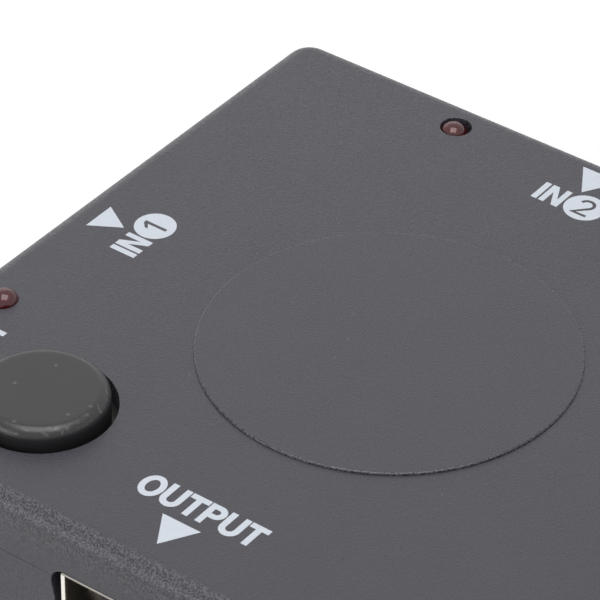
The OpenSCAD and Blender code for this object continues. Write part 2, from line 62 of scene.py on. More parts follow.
def linear(code):
    """An sRGB colour, written as hex, as the linear colour that a shader takes."""
    shares = [int(code[i:i + 2], 16) / 255 for i in (1, 3, 5)]
    return [s / 12.92 if s <= 0.04045 else ((s + 0.055) / 1.055) ** 2.4 for s in shares] + [1]


def add_node(tree, kind, settings, links):
    """Adds a node to a tree, sets its properties and sockets, and links its sockets to what feeds them."""
    node = tree.nodes.new("ShaderNode" + kind)
    for name, value in settings.items():
        if isinstance(name, int) or name in node.inputs:
            node.inputs[name].default_value = value
        else:
            setattr(node, name, value)
    for name, source in links.items():
        tree.links.new(source, node.inputs[name])
    return node


def start_finish(name, settings):
    """A new material, its node tree and its shader, with the sockets set that are the same all over."""
    material = bpy.data.materials.new(name)
    material.use_nodes = True
    shader = material.node_tree.nodes["Principled BSDF"]
    for socket, value in settings.items():
        shader.inputs[socket].default_value = value
    return material, material.node_tree, shader


def per_mm(size):
    """The scale of a pattern in object space, in metres, whose features are that many millimetres wide."""
    return 1 / (size * mm)


# Moulded ABS: the pigment is even, so the eye sees a soft sheen that the grain breaks up, and a little dust.
# On the rounded edges, and on the walls close under them, a speckle of pale and dark spots is painted in: it
# is painted glints, standing in for light glinting off the grain there. The disc's shoulder was turned in the
# mould, so it is glossier and catches a thin line of light. The real grain is about 0.1 mm wide and is drawn
# nearly twice as coarse, so that it shows.
blotch_w, grain_w, glint_w, dust_gap, grain_depth = 7, 0.18, 0.19, 4, 0.05
# Heights in mm between which the painted glints fade in on the walls, and their strongest share.
glint_low, glint_high, glint_share = 14, 17.5, 0.8
disc_r, disc_edge_r, shoulder_half, shoulder_gloss = 18, 0.2, 0.75, 0.1
case_abs, tree, shader = start_finish("moulded ABS, fine spark grain", {"IOR": 1.5})
place = add_node(tree, "TexCoord", {}, {})
spot = place.outputs["Object"]
blotch = add_node(tree, "TexNoise", {"Scale": per_mm(blotch_w), "Detail": 3}, {"Vector": spot})
grain = add_node(tree, "TexNoise", {"Scale": per_mm(grain_w), "Detail": 2}, {"Vector": spot})
dust = add_node(tree, "TexVoronoi", {"Scale": per_mm(dust_gap)}, {"Vector": spot})
speck = add_node(
    tree, "MapRange", {"From Min": 0.02, "From Max": 0.035, "To Min": 0.25, "To Max": 0},
    {"Value": dust.outputs["Distance"]})
pigment = add_node(
    tree, "Mix", {"data_type": "RGBA", 6: linear("#3c3b43"), 7: linear("#414048")}, {0: blotch.outputs[0]})
# Painted glints: a fine speckle of pale and dark spots that stands in for light glinting off the grain.
glint_noise = add_node(tree, "TexNoise", {"Scale": per_mm(glint_w), "Detail": 1}, {"Vector": spot})
glint_spot = add_node(tree, "MapRange", {"From Min": 0.42, "From Max": 0.58}, {"Value": glint_noise.outputs[0]})
painted_glints = add_node(
    tree, "Mix", {"data_type": "RGBA", 6: linear("#27272d"), 7: linear("#58575f")}, {0: glint_spot.outputs[0]})
facing = add_node(tree, "VectorMath", {"operation": "ABSOLUTE"}, {0: place.outputs["Normal"]})
ways = add_node(tree, "SeparateXYZ", {}, {0: facing.outputs[0]})
level = add_node(tree, "Math", {"operation": "MAXIMUM"}, {0: ways.outputs["X"], 1: ways.outputs["Y"]})
flat = add_node(tree, "Math", {"operation": "MAXIMUM"}, {0: level.outputs[0], 1: ways.outputs["Z"]})
edge = add_node(tree, "MapRange", {"From Min": 0.9998, "From Max": 0.93}, {"Value": flat.outputs[0]})
where = add_node(tree, "SeparateXYZ", {}, {0: spot})
upright = add_node(tree, "MapRange", {"To Min": 1, "To Max": 0}, {"Value": ways.outputs["Z"]})
near_top = add_node(
    tree, "MapRange", {"From Min": glint_low * mm, "From Max": glint_high * mm, "To Max": glint_share},
    {"Value": where.outputs["Z"]})
wall = add_node(tree, "Math", {"operation": "MULTIPLY"}, {0: upright.outputs[0], 1: near_top.outputs[0]})
glint_mask = add_node(tree, "Math", {"operation": "MAXIMUM"}, {0: edge.outputs[0], 1: wall.outputs[0]})
# Mixes the painted glint speckle into the pigment on the rounded edges and the upper walls.
glinted = add_node(
    tree, "Mix", {"data_type": "RGBA"}, {0: glint_mask.outputs[0], 6: pigment.outputs[2], 7: painted_glints.outputs[2]})
dusted = add_node(
    tree, "Mix", {"data_type": "RGBA", 7: linear("#8c8b8d")}, {0: speck.outputs[0], 6: glinted.outputs[2]})
gloss = add_node(
    tree, "MapRange", {"From Min": 0.35, "From Max": 0.65, "To Min": 0.55, "To Max": 0.18},
    {"Value": grain.outputs[0]})
from_axis = add_node(tree, "Mapping", {"Scale": (1, 1, 0)}, {"Vector": spot})
reach = add_node(tree, "VectorMath", {"operation": "LENGTH"}, {0: from_axis.outputs[0]})
shoulder = add_node(
    tree, "Math", {"operation": "COMPARE", 1: (disc_r - disc_edge_r / 2) * mm,
                   2: disc_edge_r * shoulder_half * mm},
    {0: reach.outputs["Value"]})
turned_gloss = add_node(tree, "Mix", {3: shoulder_gloss}, {0: shoulder.outputs[0], 2: gloss.outputs[0]})
relief = add_node(tree, "Bump", {"Strength": 1, "Distance": grain_depth * mm}, {"Height": grain.outputs[0]})
tree.links.new(dusted.outputs[2], shader.inputs["Base Color"])
tree.links.new(turned_gloss.outputs[0], shader.inputs["Roughness"])
tree.links.new(relief.outputs[0], shader.inputs["Normal"])


def put_in_scene(name, data):
    """A new object in the scene that shows a mesh, light or camera."""
    thing = bpy.data.objects.new(name, data)
    bpy.context.scene.collection.objects.link(thing)
    return thing


def whole_faces(node):
    """A CAD node's shape to work on, with each of its flat faces in one."""
    shape = bmesh.new()
    shape.from_mesh(nodes[node].data)
    bmesh.ops.remove_doubles(shape, verts=shape.verts, dist=weld * mm)
    bmesh.ops.dissolve_limit(shape, angle_limit=math.radians(flat_bend), verts=shape.verts, edges=shape.edges)
    return shape


def smooth_mesh(name, shape):
    """A smoothly shaded mesh made from a shape, without the normals that the CAD mesh brings along."""
    mesh = bpy.data.meshes.new(name)
    shape.to_mesh(mesh)
    shape.free()
    if "custom_normal" in mesh.attributes:
        mesh.attributes.remove(mesh.attributes["custom_normal"])
    mesh.shade_smooth()
    return mesh


def moulded_skin(node, shape, radius, bands):
    """A piece that replaces a CAD node, with its shape's outward edges rounded as a mould rounds them. Edges
    that lie in a band, given as its low end, high end and radius, have that radius. All in mm."""
    corner = math.radians(sharp_bend)
    largest = max([radius] + [band[2] for band in bands])
    share = shape.edges.layers.float.new("bevel_weight_edge")
    for edge in shape.edges:
        bend = edge.calc_face_angle_signed(0)
        edge.smooth = bend > -corner
        if bend > corner:
            heights = [vert.co.z / mm for vert in edge.verts]
            own = [band[2] for band in bands if band[0] < min(heights) and max(heights) < band[1]]
            edge[share] = (own + [radius])[0] / largest
    piece = put_in_scene(node + "_skin", smooth_mesh(node + "_skin", shape))
    rounding = piece.modifiers.new("mould radius", "BEVEL")
    rounding.width = largest * mm
    rounding.segments = radius_steps
    rounding.limit_method = "WEIGHT"
    rounding.use_clamp_overlap = False
    piece.modifiers.new("even shading", "WEIGHTED_NORMAL").keep_sharp = True
    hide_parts(node)
    return piece


def give_finish(piece, material):
    """Makes a material the only one on a piece."""
    piece.data.materials.clear()
    piece.data.materials.append(material)


def wear(piece, body, material):
    """Puts a new piece on the body that carries it, with its finish."""
    give_finish(piece, material)
    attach(piece, body)


parting = [(groove_z - edge_slack, groove_z + edge_slack, ledge_radius),
           (seam_z - edge_slack, seam_z + edge_slack, parting_radius)]
tray = moulded_skin("lower_shell", whole_faces("lower_shell"), mould_radius, parting)
wear(tray, "case", case_abs)


# Rubber feet: four round feet of black rubber, moulded with a satin face and glued into recesses in the
# floor. They carry dust and fine scuffs, so their blackness is uneven.
def mottled_finish(name, colours, patch_w, roughness, relief_w, relief_depth, settings):
    """A material whose colour and gloss vary in soft patches, over a fine relief. Sizes in mm."""
    material, tree, shader = start_finish(name, settings)
    place = add_node(tree, "TexCoord", {}, {})
    spot = place.outputs["Object"]
    patch = add_node(tree, "TexNoise", {"Scale": per_mm(patch_w), "Detail": 4}, {"Vector": spot})
    grain = add_node(tree, "TexNoise", {"Scale": per_mm(relief_w), "Detail": 2}, {"Vector": spot})
    dark, light = (linear(colour) for colour in colours)
    tint = add_node(tree, "Mix", {"data_type": "RGBA", 6: dark, 7: light}, {0: patch.outputs[0]})
    gloss = add_node(
        tree, "MapRange", {"To Min": roughness[0], "To Max": roughness[1]}, {"Value": patch.outputs[0]})
    relief = add_node(
        tree, "Bump", {"Strength": 1, "Distance": relief_depth * mm}, {"Height": grain.outputs[0]})
    tree.links.new(tint.outputs[2], shader.inputs["Base Color"])
    tree.links.new(gloss.outputs[0], shader.inputs["Roughness"])
    tree.links.new(relief.outputs[0], shader.inputs["Normal"])
    return material


foot_rubber = mottled_finish(
    "moulded black rubber", ("#1b1b1c", "#2a2a2b"), patch_w=2.5, roughness=(0.6, 0.8),
    relief_w=0.3, relief_depth=0.01, settings={"IOR": 1.52})
give_finish(nodes["rubber_feet"], foot_rubber)

# Circuit board: glass-fibre laminate under a glossy green solder mask. The weave shows faintly through the
# mask, and the copper tracks lift it in fields with fine gaps.
# A wave repeats every 0.31 of its unit and a field is half of its unit long, so the weave repeats at 1.3 mm,
# a little coarser than a real one, and the fields are 3 mm long.
weave_unit, track_unit, track_rise = 4, 6, 0.01
board_laminate, tree, shader = start_finish(
    "glass laminate, green solder mask", {"IOR": 1.55, "Coat Weight": 0.3})
place = add_node(tree, "TexCoord", {}, {})
spot = place.outputs["Object"]
weave = add_node(
    tree, "TexWave", {"Scale": per_mm(weave_unit), "Distortion": 1.5, "Detail": 2}, {"Vector": spot})
tracks = add_node(
    tree, "TexBrick",
    {"Scale": per_mm(track_unit), "Mortar Size": 0.03, "Color1": [1] * 4, "Color2": [0.8] * 3 + [1]},
    {"Vector": spot})
mask = add_node(
    tree, "Mix", {"data_type": "RGBA", 6: linear("#14452c"), 7: linear("#1d5a3a")},
    {0: tracks.outputs["Color"]})
gloss = add_node(tree, "MapRange", {"To Min": 0.25, "To Max": 0.4}, {"Value": weave.outputs["Fac"]})
relief = add_node(
    tree, "Bump", {"Strength": 1, "Distance": track_rise * mm}, {"Height": tracks.outputs["Color"]})
tree.links.new(mask.outputs[2], shader.inputs["Base Color"])
tree.links.new(gloss.outputs[0], shader.inputs["Roughness"])
tree.links.new(relief.outputs[0], shader.inputs["Normal"])
give_finish(nodes["circuit_board"], board_laminate)

# Parts on the board: chips and arrays in black moulded epoxy, tan ceramic capacitors, and leads of tinned
# copper alloy. They are soldered flat on the board before the case is closed.
# Epoxy is a dull black with a fine mould grain, fired ceramic a matt tan with a slight mottle, and tin a
# bright grey that clouds in patches.
chip_epoxy = mottled_finish(
    "black moulded epoxy", ("#1d1d1f", "#262628"), patch_w=1.2, roughness=(0.45, 0.6),
    relief_w=0.08, relief_depth=0.004, settings={"IOR": 1.55})
chip_ceramic = mottled_finish(
    "tan fired ceramic", ("#977a57", "#a98a63"), patch_w=0.6, roughness=(0.5, 0.65),
    relief_w=0.06, relief_depth=0.003, settings={"IOR": 1.6})
tinned_metal = mottled_finish(
    "tinned metal, bright", ("#b9b7b2", "#d2d0ca"), patch_w=0.5, roughness=(0.28, 0.42),
    relief_w=0.07, relief_depth=0.002, settings={"Metallic": 1})
for node in ("switch_chip", "regulator", "surge_arrays", "resistors"):
    give_finish(nodes[node], chip_epoxy)
give_finish(nodes["capacitors"], chip_ceramic)
for node in ("switch_chip_leads", "regulator_leads"):
    give_finish(nodes[node], tinned_metal)

# Socket shells: plated sheet steel, 0.3 mm thick, folded to the plug's shape and flared at the mouth to lead
# the plug in. Spring fingers are pressed out of the top and the bottom to grip it. Legs pass through the
# board.
ports = {"in_1": -90, "in_2": 180, "in_3": 90, "output": 0}
board_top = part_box("circuit_board")[1].z / mm
mouth_reach = -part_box("output_socket_shell")[0].y / mm
mouth_w, mouth_h, floor_w, shoulder_h, fold_r = 14.0, 4.55, 10.6, 2.2, 0.4
sheet, socket_l = 0.3, 12.0
flare, rim_fold_r, lip_in_r, lip_out_r = 1.05, 0.2, 0.14, 0.06
flare_starts, flare_ends = (3, 3, 3, 3, 1, 3), (4.8, 4.8, 4.8, 4.8, 3, 4.8)
curls, curl_l = (0.08, 0, 0.08, 0.08, 0, 0.08), 0.25
leg_w, leg_depths, leg_top, leg_drop = 1.4, (5.6, 10.6), 3.5, 2.2
fold_steps, fold_crease = 6, 40
finger_w, finger_x, finger_from, finger_to, finger_bow = 2.0, 3.2, 5.0, 8.7, 0.32
finger_under, finger_over, finger_steps, floor_share = -0.05, 0.12, 12, 0.8
finger_skew, finger_ease = 0.7, 1.5


def arc(x, y, rx, ry, start, end, steps):
    """Points on an elliptical arc, between two angles in degrees."""
    angles = [math.radians(start + (end - start) * i / steps) for i in range(steps + 1)]
    return [(x + rx * math.cos(a), y + ry * math.sin(a)) for a in angles]


def socket_outline(grows, fold):
    """The outline of a socket's inside with its six sides moved out and its folds of one radius: points
    across and up from the board, in mm. The sides are the right, top, left, lower left, bottom and lower
    right."""
    side_x, floor_x = mouth_w / 2 - fold_r, floor_w / 2 - fold_r
    lean = math.degrees(math.atan2(side_x - floor_x, shoulder_h - fold_r))
    folds = [(side_x, mouth_h - fold_r), (-side_x, mouth_h - fold_r), (-side_x, shoulder_h),
             (-floor_x, fold_r), (floor_x, fold_r), (side_x, shoulder_h)]
    turns = [0, 90, 180, 180 + lean, 270, 360 - lean, 360]
    points = []
    for i, (x, z) in enumerate(folds):
        start, end = math.radians(turns[i]), math.radians(turns[i + 1])
        before, after = fold_r + grows[i] - fold, fold_r + grows[(i + 1) % len(grows)] - fold
        slant = math.cos(end - start)
        along_start = (before - after * slant) / (1 - slant ** 2)
        along_end = (after - before * slant) / (1 - slant ** 2)
        x += along_start * math.cos(start) + along_end * math.cos(end)
        z += along_start * math.sin(start) + along_end * math.sin(end) + sheet
        points += arc(x, z, fold, fold, turns[i], turns[i + 1], fold_steps)
    return points


def sheet_section():
    """Depth and share of the thickness along the sheet, once round: out along its inside, over the lip and
    back along its outside."""
    depths = [4.8, 4.5, 4.2, 3.9, 3.6, 3.3, 3, 2.7, 2.4, 2.1, 1.8, 1.5, 1.2, 1, 0.7, 0.4, 0.25, 0.18]
    turn = [0, 0.4, 0.8, 1.2, math.pi / 2]
    inside = [(socket_l, 0)] + [(depth, 0) for depth in depths]
    lip = [(lip_in_r * (1 - math.sin(a)), lip_in_r / sheet * (1 - math.cos(a))) for a in turn]
    lip += [(lip_out_r * (1 - math.cos(a)), 1 - lip_out_r / sheet * (1 - math.sin(a))) for a in turn]
    outside = [(depth, 1) for depth in reversed(depths)] + [(socket_l, 1)]
    return inside + lip + outside


def sheet_ring(depth, share):
    """The outline at a depth and a share of the sheet's thickness: curled lip, wide mouth and soft ramp."""
    grows = []
    for start, end, curl in zip(flare_starts, flare_ends, curls):
        narrowed = min(1, max(0, (depth - start) / (end - start)))
        mouth = (flare - curl) * (1 - narrowed ** 2 * (3 - 2 * narrowed))
        grows.append(mouth + curl * max(0, 1 - depth / curl_l) ** 2 + sheet * share)
    back = min(1, depth / flare_ends[0])
    return socket_outline(grows, rim_fold_r * (1 - back) + (fold_r + sheet * share) * back)


def add_box(shape, low, high):
    """Adds a box between two corners, in mm."""
    size = [h - l for l, h in zip(low, high)]
    middle = [(l + h) / 2 for l, h in zip(low, high)]
    bmesh.ops.create_cube(shape, size=1, matrix=Matrix.Translation(middle) @ Matrix.Diagonal((*size, 1)))


def add_finger(shape, x, root, towards):
    """Adds a spring finger on the sheet at a height, bowed to the inside by a raised half wave, in mm."""
    rows = []
    for i in range(finger_steps + 1):
        share = i / finger_steps
        depth = finger_from + (finger_to - finger_from) * share
        bow = finger_bow * math.sin(math.pi * share ** finger_skew) ** finger_ease
        rows.append([shape.verts.new((x + side * finger_w / 2, depth, root + towards * (bow + lift)))
                     for lift in (finger_under, finger_over) for side in (-1, 1)])
    for a, b in zip(rows, rows[1:]):
        for i, j in ((0, 1), (1, 3), (3, 2), (2, 0)):
            shape.faces.new((a[i], a[j], b[j], b[i]))
    for end in (rows[0], rows[-1]):
        shape.faces.new((end[0], end[1], end[3], end[2]))


def socket_mesh():
    """One socket's shell with its mouth on y = 0, facing -Y, and its base on the board, in mm."""
    shape = bmesh.new()
    rings = []
    for depth, share in sheet_section():
        rings.append([shape.verts.new((x, depth, z)) for x, z in sheet_ring(depth, share)])
    count = len(rings[0])
    for a, b in zip(rings, rings[1:] + rings[:1]):
        for i in range(count):
            shape.faces.new((a[i], a[(i + 1) % count], b[(i + 1) % count], b[i]))
    for side in (-1, 1):
        for depth in leg_depths:
            x = side * (mouth_w + sheet) / 2
            low = (x - sheet / 2, depth - leg_w / 2, -leg_drop)
            high = (x + sheet / 2, depth + leg_w / 2, leg_top)
            add_box(shape, low, high)
        add_finger(shape, side * finger_x, sheet + mouth_h, -1)
        add_finger(shape, side * finger_x * floor_share, sheet, 1)
    bmesh.ops.recalc_face_normals(shape, faces=shape.faces)
    return shape


def new_piece(name, shape, crease):
    """A piece made from a shape and shaded smooth, except across bends sharper than a crease, in degrees."""
    mesh = smooth_mesh(name, shape)
    mesh.set_sharp_from_angle(angle=math.radians(crease))
    return put_in_scene(name, mesh)


# Nickel plate over a warm copper strike: a bright cream metal at the flared rim. Deeper in, the plate is
# painted a dark grey for the shade inside the socket, and its upper lip a mid grey for the shade on it: both
# are painted shade. Its gloss is duller further in and broken by the marks of rolling.
roll_mark_w, roll_stretch, rim_start, rim_end, dull_gloss = 0.15, 0.08, 0.45, 0.12, 0.5
plated_shell, tree, shader = start_finish("nickel plated sheet steel", {"Metallic": 1})
place = add_node(tree, "TexCoord", {}, {})
spot = place.outputs["Object"]
along = add_node(tree, "Mapping", {"Scale": (1, roll_stretch, 1)}, {"Vector": spot})
rolling = add_node(
    tree, "TexNoise", {"Scale": per_mm(roll_mark_w), "Detail": 3}, {"Vector": along.outputs[0]})
parts = add_node(tree, "SeparateXYZ", {}, {0: spot})
across = add_node(tree, "Math", {"operation": "ABSOLUTE"}, {0: parts.outputs["X"]})
ahead = add_node(tree, "Math", {"operation": "ABSOLUTE"}, {0: parts.outputs["Y"]})
out = add_node(tree, "Math", {"operation": "MAXIMUM"}, {0: across.outputs[0], 1: ahead.outputs[0]})
rim = add_node(
    tree, "MapRange", {"From Min": (mouth_reach - rim_start) * mm, "From Max": (mouth_reach - rim_end) * mm},
    {"Value": out.outputs[0]})
plate = add_node(
    tree, "Mix", {"data_type": "RGBA", 6: linear("#e9e3da"), 7: linear("#f5f0e8")}, {0: rolling.outputs[0]})
lip_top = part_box("output_socket_shell")[1].z
lip = add_node(
    tree, "MapRange", {"From Min": lip_top - sheet * mm, "From Max": lip_top - sheet * mm / 2},
    {"Value": parts.outputs["Z"]})
# Painted shade: the upper lip is painted mid grey.
lip_shade_and_nicks = add_node(
    tree, "Mix", {"data_type": "RGBA", 7: linear("#96918c")}, {0: lip.outputs[0], 6: plate.outputs[2]})
# Painted shade: past the rim, deeper in, the plate is painted dark grey.
painted_deep_shade = add_node(
    tree, "Mix", {"data_type": "RGBA", 6: linear("#6a645e")}, {0: rim.outputs[0], 7: lip_shade_and_nicks.outputs[2]})
shine = add_node(tree, "MapRange", {"To Min": 0.12, "To Max": 0.22}, {"Value": rolling.outputs[0]})
gloss = add_node(tree, "Mix", {2: dull_gloss}, {0: rim.outputs[0], 3: shine.outputs[0]})
tree.links.new(painted_deep_shade.outputs[2], shader.inputs["Base Color"])
tree.links.new(gloss.outputs[0], shader.inputs["Roughness"])

for port, turn in ports.items():
    shape = socket_mesh()
    seat = Matrix.Rotation(math.radians(turn), 4, "Z") @ Matrix.Translation((0, -mouth_reach, board_top))
    bmesh.ops.transform(shape, matrix=Matrix.Scale(mm, 4) @ seat, verts=shape.verts)
    piece = new_piece(port + "_socket_plate", shape, fold_crease)
    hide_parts(port + "_socket_shell")
    wear(piece, "case", plated_shell)

# Socket insulators and contacts: a black glass-filled nylon block with a tongue, and nineteen gold plated
# blades in its slots. The nylon is dull where the glass comes to the surface, and the gold is bright with a
# little cloud.
black_nylon = mottled_finish(
    "black glass-filled nylon", ("#131314", "#1c1c1d"), patch_w=1.0, roughness=(0.42, 0.6),
    relief_w=0.1, relief_depth=0.005, settings={"IOR": 1.53})
contact_gold = mottled_finish(
    "gold plated contact", ("#c99a3f", "#dcb561"), patch_w=0.4, roughness=(0.2, 0.32),
    relief_w=0.05, relief_depth=0.001, settings={"Metallic": 1})
for port in ports:
    give_finish(nodes[port + "_socket_insulator"], black_nylon)
    give_finish(nodes[port + "_socket_contacts"], contact_gold)

# Push switch: a snap dome in a black nylon base under a tinned cover, soldered to the board below the
# button. The dome is stamped from thin sheet.
for node in ("push_switch_base", "push_switch_plunger"):
    give_finish(nodes[node], black_nylon)
for node in ("push_switch_cover", "push_switch_pins"):
    give_finish(nodes[node], tinned_metal)
snap_dome = new_piece("snap_dome", whole_faces("push_switch_dome"), sharp_bend)
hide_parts("push_switch_dome")
wear(snap_dome, "case", tinned_metal)
low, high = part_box("push_switch_dome")
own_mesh(snap_dome)

# Indicator lamps: 3 mm lamps cast in deep red clear epoxy round their two tinned leads, standing in holes of
# the top plate, two of them a little out of upright. Unlit, they are dark, with the studio's light on the
# dome.
lens_r, lens_flange_t, lens_flat, dome_steps = 1.4, 1.0, 0.05, 20
flow_w, flow_depth = 1.5, 0.02
tip_leans = {"lamp_1": (0.11, 0.08), "lamp_2": (-0.07, -0.11), "lamp_3": (0, 0)}


def turned_piece(name, profile, x, y, around):
    """A piece turned from a profile of radius and height about an upright axis, on which it closes, in mm."""
    shape = bmesh.new()
    rings = []
    for r, z in profile:
        spots = around if r > 0 else 1
        turns = [2 * math.pi * i / spots for i in range(spots)]
        rings.append([
            shape.verts.new(((x + r * math.cos(t)) * mm, (y + r * math.sin(t)) * mm, z * mm)) for t in turns])
    for a, b in zip(rings, rings[1:]):
        for i in range(around):
            j = (i + 1) % around
            corners = [a[i % len(a)], a[j % len(a)], b[j % len(b)], b[i % len(b)]]
            shape.faces.new(list(dict.fromkeys(corners)))
    bmesh.ops.recalc_face_normals(shape, faces=shape.faces)
    return new_piece(name, shape, sharp_bend)


# Clear red epoxy: smooth as cast, so its gloss is sharp. Flow marks in the casting bend the view of the
# leads.
lamp_epoxy, tree, shader = start_finish(
    "red cast epoxy", {"IOR": 1.54, "Transmission Weight": 0.8, "Roughness": 0.08})
place = add_node(tree, "TexCoord", {}, {})
spot = place.outputs["Object"]
flow = add_node(tree, "TexNoise", {"Scale": per_mm(flow_w), "Detail": 2}, {"Vector": spot})
dye = add_node(
    tree, "Mix", {"data_type": "RGBA", 6: linear("#8f262e"), 7: linear("#a5313a")}, {0: flow.outputs[0]})
relief = add_node(tree, "Bump", {"Strength": 0.5, "Distance": flow_depth * mm}, {"Height": flow.outputs[0]})
tree.links.new(dye.outputs[2], shader.inputs["Base Color"])
tree.links.new(relief.outputs[0], shader.inputs["Normal"])

for lamp, (lean_x, lean_y) in tip_leans.items():
    low, high = (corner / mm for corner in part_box(lamp + "_lens"))
    dome_r, flange_r = lens_r - lens_flat, (high.x - low.x) / 2
    flange_top = low.z + lens_flange_t
    profile = [(0, low.z), (flange_r, low.z), (flange_r, flange_top), (lens_r, flange_top)]
    profile += arc(lens_flat, high.z - dome_r, dome_r, dome_r, 0, 90, dome_steps) + [(0, high.z)]
    lens = turned_piece(lamp + "_dome", profile, (low.x + high.x) / 2, (low.y + high.y) / 2, around=64)
    for vert in lens.data.vertices:
        up = (vert.co.z / mm - low.z) / (high.z - low.z)
        vert.co += Vector((lean_x, lean_y, 0)) * up * mm
    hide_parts(lamp + "_lens")
    wear(lens, "case", lamp_epoxy)
    give_finish(nodes[lamp + "_leads"], tinned_metal)

# Upper shell: the lid of the case, from the same ABS and with the same grain as the tray. It has the raised
# disc, the holes for the button and the lamps, and the upper halves of the socket cutouts.
port_top, top_z = 13.95, 19.2
disc_rise, disc_rings = 0.25, 8


def turn_disc(shape):
    """Makes the raised disc again in even rings, up from the ring where it stands on the flat top."""
    raised = [face for face in shape.faces if min(vert.co.z for vert in face.verts) > (top_z - weld) * mm
              and max(vert.co.z for vert in face.verts) > (top_z + weld) * mm]
    bmesh.ops.delete(shape, geom=raised, context="FACES")
    ring = [edge for edge in shape.edges if edge.is_boundary]
    for step in range(disc_rings + 1):
        turn = math.pi / 2 * step / disc_rings
        radius = disc_r - disc_edge_r * (1 - math.cos(turn))
        height = top_z + disc_rise - disc_edge_r * (1 - math.sin(turn))
        made = bmesh.ops.extrude_edge_only(shape, edges=ring)["geom"]
        ring = [part for part in made if isinstance(part, bmesh.types.BMEdge) and part.is_boundary]
        for vert in {vert for edge in ring for vert in edge.verts}:
            across = Vector((vert.co.x, vert.co.y, 0)).normalized() * radius * mm
            vert.co = across + Vector((0, 0, height * mm))
    bmesh.ops.contextual_create(shape, geom=ring)
    bmesh.ops.recalc_face_normals(shape, faces=shape.faces)
    return shape


port_edges = [(seam_z - edge_slack, port_top + edge_slack, parting_radius)]
lid = moulded_skin("upper_shell", turn_disc(whole_faces("upper_shell")), mould_radius, port_edges)
wear(lid, "case", case_abs)

# Case screws: four pan-head screws of zinc plated steel, sunk in the tray's underside. They pass through
# the board and hold the upper shell's posts. The plating is pale and a little cloudy.
screw_steel = mottled_finish(
    "zinc plated steel", ("#a3a4a8", "#bdbec2"), patch_w=0.8, roughness=(0.3, 0.45),
    relief_w=0.12, relief_depth=0.003, settings={"Metallic": 1})
give_finish(nodes["case_screws"], screw_steel)

# Select button: a round cap of dark ABS with a polished mould's smoother face and a rounded rim. A flange
# under the top plate keeps it in, and its stem bears on the push switch.
low, high = (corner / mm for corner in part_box("button_cap"))
button_x, button_y = (low.x + high.x) / 2, (low.y + high.y) / 2
cap_r, cap_edge_r, cap_edge_steps, cap_ring = 6.3, 1.1, 16, 0.4
cap_roof_t, skirt_t, stem_r = 1.6, 1.2, 2.2
flange_r, flange_z, flange_top = (high.x - low.x) / 2, 16.05, 17.05
roof = high.z - cap_roof_t
profile = [(0, low.z), (stem_r, low.z), (stem_r, roof), (cap_r - skirt_t, roof), (cap_r - skirt_t, flange_z),
           (flange_r, flange_z), (flange_r, flange_top), (cap_r, flange_top)]
profile += arc(cap_r - cap_edge_r, high.z - cap_edge_r, cap_edge_r, cap_edge_r, 0, 90, cap_edge_steps)
profile += [(cap_r - cap_edge_r - cap_ring, high.z), (0, high.z)]

# Smooth ABS, nearly black: it shows the room's sheen more than its own colour. Fingers have dulled its rim
# in nicks, and its face holds a faint mottle and a few specks of dust.
mottle_w, face_grain_w, face_grain_depth, nick_w, face_dust_gap = 3, 0.3, 0.012, 0.5, 5
nick_r, nick_half = 5.85, 0.35
button_abs, tree, shader = start_finish("moulded ABS, smooth", {"IOR": 1.5})
place = add_node(tree, "TexCoord", {}, {})
spot = place.outputs["Object"]
blotch = add_node(tree, "TexNoise", {"Scale": per_mm(mottle_w), "Detail": 3}, {"Vector": spot})
grain = add_node(tree, "TexNoise", {"Scale": per_mm(face_grain_w), "Detail": 2}, {"Vector": spot})
nicks = add_node(tree, "TexNoise", {"Scale": per_mm(nick_w), "Detail": 3}, {"Vector": spot})
from_axis = add_node(
    tree, "Mapping", {"Location": (-button_x * mm, -button_y * mm, 0), "Scale": (1, 1, 0)},
    {"Vector": spot})
reach = add_node(tree, "VectorMath", {"operation": "LENGTH"}, {0: from_axis.outputs[0]})
rim = add_node(
    tree, "Math", {"operation": "COMPARE", 1: nick_r * mm, 2: nick_half * mm}, {0: reach.outputs["Value"]})
scuff = add_node(
    tree, "MapRange", {"From Min": 0.55, "From Max": 0.72},
    {"Value": nicks.outputs[0], "To Max": rim.outputs[0]})
pigment = add_node(
    tree, "Mix", {"data_type": "RGBA", 6: linear("#28282a"), 7: linear("#2d2d2f")}, {0: blotch.outputs[0]})
lip_shade_and_nicks = add_node(
    tree, "Mix", {"data_type": "RGBA", 7: linear("#5a5a5b")}, {0: scuff.outputs[0], 6: pigment.outputs[2]})
dust = add_node(
    tree, "TexVoronoi", {"voronoi_dimensions": "2D", "Scale": per_mm(face_dust_gap)}, {"Vector": spot})
speck = add_node(
    tree, "MapRange", {"From Min": 0.02, "From Max": 0.045, "To Min": 0.3, "To Max": 0},
    {"Value": dust.outputs["Distance"]})
dusted = add_node(
    tree, "Mix", {"data_type": "RGBA", 7: linear("#8c8b8d")}, {0: speck.outputs[0], 6: lip_shade_and_nicks.outputs[2]})
gloss = add_node(tree, "MapRange", {"To Min": 0.28, "To Max": 0.34}, {"Value": blotch.outputs[0]})
relief = add_node(
    tree, "Bump", {"Strength": 1, "Distance": face_grain_depth * mm}, {"Height": grain.outputs[0]})
tree.links.new(dusted.outputs[2], shader.inputs["Base Color"])
tree.links.new(gloss.outputs[0], shader.inputs["Roughness"])
tree.links.new(relief.outputs[0], shader.inputs["Normal"])

button = turned_piece("select_button_cap", profile, button_x, button_y, around=128)
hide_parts("button_cap")
wear(button, "select_button", button_abs)

# Printed marks: one thin coat of white pad-printing ink on the top plate. Words for the sockets' use, their
# numbers in reversed-out discs, and arrows that show which way the picture goes.
ink_t, ink_bite = 0.012, 0.004
letter_h, stroke_w, letter_gap, in_gap = 2.9, 0.63, 0.12, 0.22
number_r, numeral_w, mitre_limit = 2.05, 0.36, 0.5


